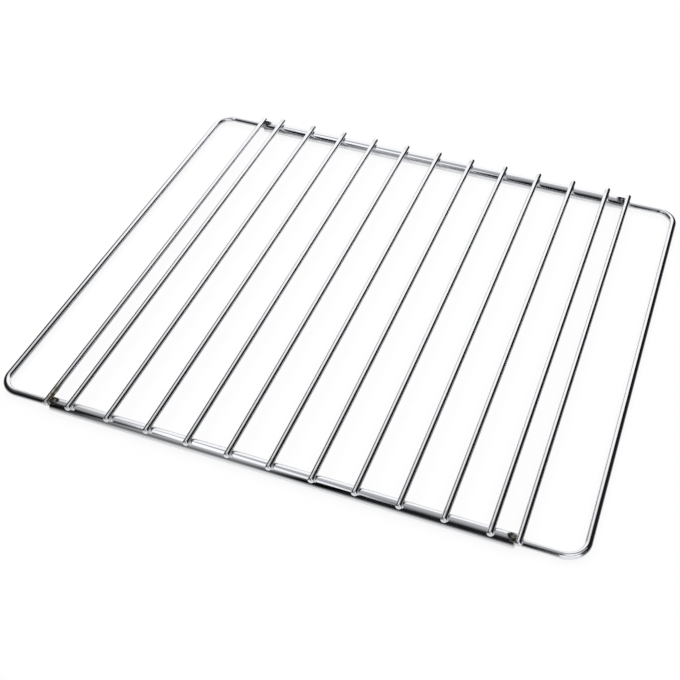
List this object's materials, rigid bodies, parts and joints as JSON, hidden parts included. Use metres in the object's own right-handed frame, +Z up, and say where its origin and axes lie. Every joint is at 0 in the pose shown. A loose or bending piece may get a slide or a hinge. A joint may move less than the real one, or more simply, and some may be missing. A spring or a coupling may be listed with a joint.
{
  "type": "oven shelf rack",
  "caption": "Flat chrome-plated wire oven shelf: cross wires welded on tubular rails, with U-bent wire ends that slide out of the rails to suit the width of the oven.",
  "frame": {"origin": "middle of the shelf in plan, at the underside of the rails", "axes": "+X along the rails, the way the ends slide; -Y towards the oven door; +Z up"},
  "size_m": [0.35, 0.322, 0.0112],
  "materials": {
    "rail_tube": "bright chrome plate on steel tube",
    "grid_wire": "bright chrome plate on drawn steel wire",
    "frame_wire": "bright chrome plate on drawn steel wire"
  },
  "bodies": {
    "grid": {"front_rail": "rail_tube", "rear_rail": "rail_tube", "cross_wire_01": "grid_wire", "cross_wire_02": "grid_wire", "cross_wire_03": "grid_wire", "cross_wire_04": "grid_wire", "cross_wire_05": "grid_wire", "cross_wire_06": "grid_wire", "cross_wire_07": "grid_wire", "cross_wire_08": "grid_wire", "cross_wire_09": "grid_wire", "cross_wire_10": "grid_wire", "cross_wire_11": "grid_wire"},
    "left_end": {"left_end_frame": "frame_wire", "left_stop_wire": "frame_wire"},
    "right_end": {"right_end_frame": "frame_wire", "right_stop_wire": "frame_wire"}
  },
  "joints": [
    {"name": "left_slide", "type": "slide", "parent": "grid", "child": "left_end", "axis": [-1, 0, 0], "range_m": [0, 0.105]},
    {"name": "right_slide", "type": "slide", "parent": "grid", "child": "right_end", "axis": [1, 0, 0], "range_m": [0, 0.105]}
  ]
}
